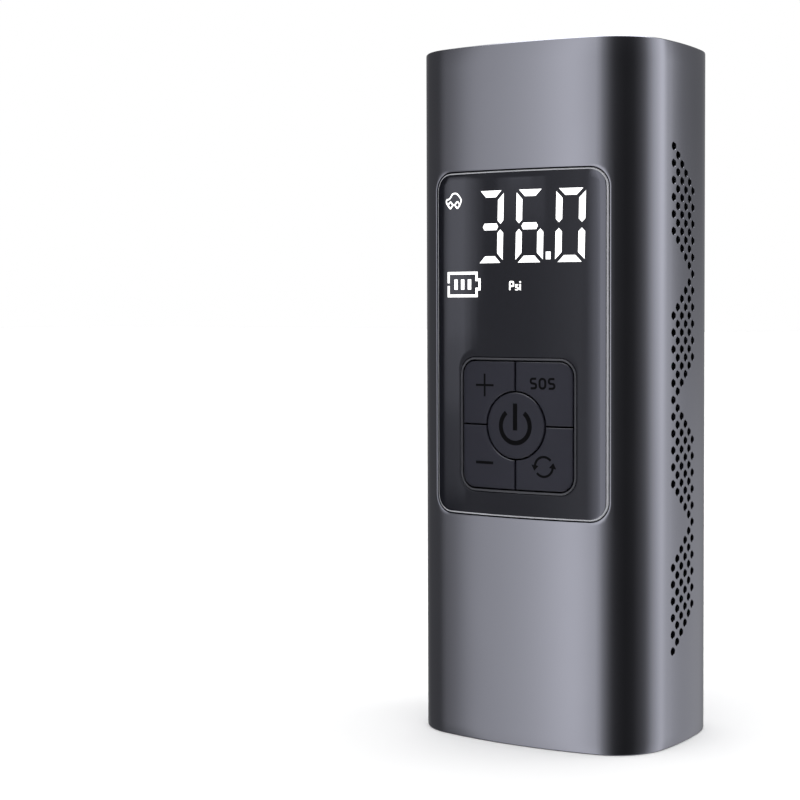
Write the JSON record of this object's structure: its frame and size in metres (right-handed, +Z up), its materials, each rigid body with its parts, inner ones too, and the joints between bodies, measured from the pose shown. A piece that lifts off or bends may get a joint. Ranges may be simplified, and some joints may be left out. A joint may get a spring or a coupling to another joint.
{
  "type": "handheld cordless tyre inflator",
  "caption": "Handheld cordless tyre inflator: tall metal-sleeved air pump with a glass display, push keys, side vents, piston compressor and threaded air outlet.",
  "frame": {"origin": "middle of the base, on the surface that the inflator stands on", "axes": "+Z up along the sleeve, the display and keypad face -Y, +X is the inflator's right-hand side seen from the front"},
  "size_m": [0.06, 0.043, 0.15],
  "materials": {
    "anodised_metal": "satin gun-metal anodising",
    "cap_plastic": "fine moulded texture",
    "window_glass": "polished black glass",
    "key_plastic": "smooth satin",
    "rim_plastic": "polished",
    "steel": "plated",
    "inner_plastic": "moulded",
    "board": "solder mask",
    "segment_white": "lit diffuser",
    "brass": "machined",
    "cast_aluminium": "die cast",
    "gear_plastic": "moulded",
    "rubber": "soft",
    "clear_tube": "silicone",
    "cell_wrap": "shrink wrap",
    "copper": "windings",
    "lead_red": "insulation",
    "lens": "clear moulding",
    "reflector": "vacuum plated",
    "led": "phosphor",
    "ferrite": "sintered"
  },
  "bodies": {
    "case": {"sleeve": "anodised_metal", "top_cap": "cap_plastic", "bottom_cap": "cap_plastic", "top_cap_screws": "steel", "bottom_cap_screws": "steel", "display_window": "window_glass", "window_gasket": "rubber", "display_housing": "inner_plastic", "display_board": "board", "display_screws": "steel", "digit_display": "inner_plastic", "display_segments": "segment_white", "key_switches": "steel", "keypad_frame": "rim_plastic", "inner_frame": "inner_plastic", "battery_cells": "cell_wrap", "battery_holder": "inner_plastic", "cell_tabs": "steel", "main_board": "board", "board_components": "inner_plastic", "ribbon_cable": "clear_tube", "motor_can": "steel", "motor_endcap": "inner_plastic", "motor_magnets": "ferrite", "motor_leads": "lead_red", "pump_bracket": "cast_aluminium", "bracket_screws": "steel", "crank_bearing": "steel", "cylinder": "cast_aluminium", "head_gasket": "rubber", "cylinder_head": "cast_aluminium", "head_screws": "steel", "valve_spring": "steel", "air_outlet": "brass", "top_board": "board", "usb_socket": "steel", "lamp_led": "led", "lamp_reflector": "reflector", "lamp_lens": "lens", "pressure_sensor": "inner_plastic", "sensor_tube": "clear_tube"},
    "rotor": {"motor_rotor": "copper", "motor_shaft": "steel", "motor_pinion": "brass"},
    "crank": {"crank_shaft": "steel", "crank_gear": "gear_plastic"},
    "piston": {"piston": "cast_aluminium", "piston_ring": "rubber", "intake_reed": "steel", "wrist_pin": "steel"},
    "rod": {"connecting_rod": "cast_aluminium", "rod_bearing": "brass", "crank_pin": "steel"},
    "valve": {"outlet_valve": "brass"},
    "power_button": {"power_key": "key_plastic"},
    "plus_button": {"plus_key": "key_plastic"},
    "minus_button": {"minus_key": "key_plastic"},
    "lamp_button": {"lamp_key": "key_plastic"},
    "mode_button": {"mode_key": "key_plastic"}
  },
  "joints": [
    {"name": "crank_spin", "type": "hinge", "parent": "case", "child": "crank", "pos_m": [0.0086, 0.0025, 0.1], "axis": [1, 0, 0], "continuous": true},
    {"name": "motor_spin", "type": "hinge", "parent": "case", "child": "rotor", "pos_m": [0, 0.0025, 0.0838], "axis": [1, 0, 0], "continuous": true},
    {"name": "piston_slide", "type": "slide", "parent": "case", "child": "piston", "axis": [0, 0, 1], "range_m": [0, 0.01]},
    {"name": "rod_swing", "type": "hinge", "parent": "piston", "child": "rod", "pos_m": [0.0128, 0.0025, 0.119], "axis": [1, 0, 0], "range_deg": [-12, 12]},
    {"name": "valve_lift", "type": "slide", "parent": "case", "child": "valve", "axis": [0, 0, 1], "range_m": [0, 0.0008], "stiffness_N_per_m": 200, "springref_m": -0.0005, "deforming": ["valve_spring"]},
    {"name": "power_press", "type": "slide", "parent": "case", "child": "power_button", "axis": [0, 1, 0], "range_m": [0, 0.0005], "stiffness_N_per_m": 600, "springref_m": -0.0015},
    {"name": "plus_press", "type": "slide", "parent": "case", "child": "plus_button", "axis": [0, 1, 0], "range_m": [0, 0.0005], "stiffness_N_per_m": 600, "springref_m": -0.0015},
    {"name": "minus_press", "type": "slide", "parent": "case", "child": "minus_button", "axis": [0, 1, 0], "range_m": [0, 0.0005], "stiffness_N_per_m": 600, "springref_m": -0.0015},
    {"name": "lamp_press", "type": "slide", "parent": "case", "child": "lamp_button", "axis": [0, 1, 0], "range_m": [0, 0.0005], "stiffness_N_per_m": 600, "springref_m": -0.0015},
    {"name": "mode_press", "type": "slide", "parent": "case", "child": "mode_button", "axis": [0, 1, 0], "range_m": [0, 0.0005], "stiffness_N_per_m": 600, "springref_m": -0.0015}
  ],
  "couplings": [
    {"joint": "motor_spin", "follows": "crank_spin", "ratio": -3.5}
  ]
}
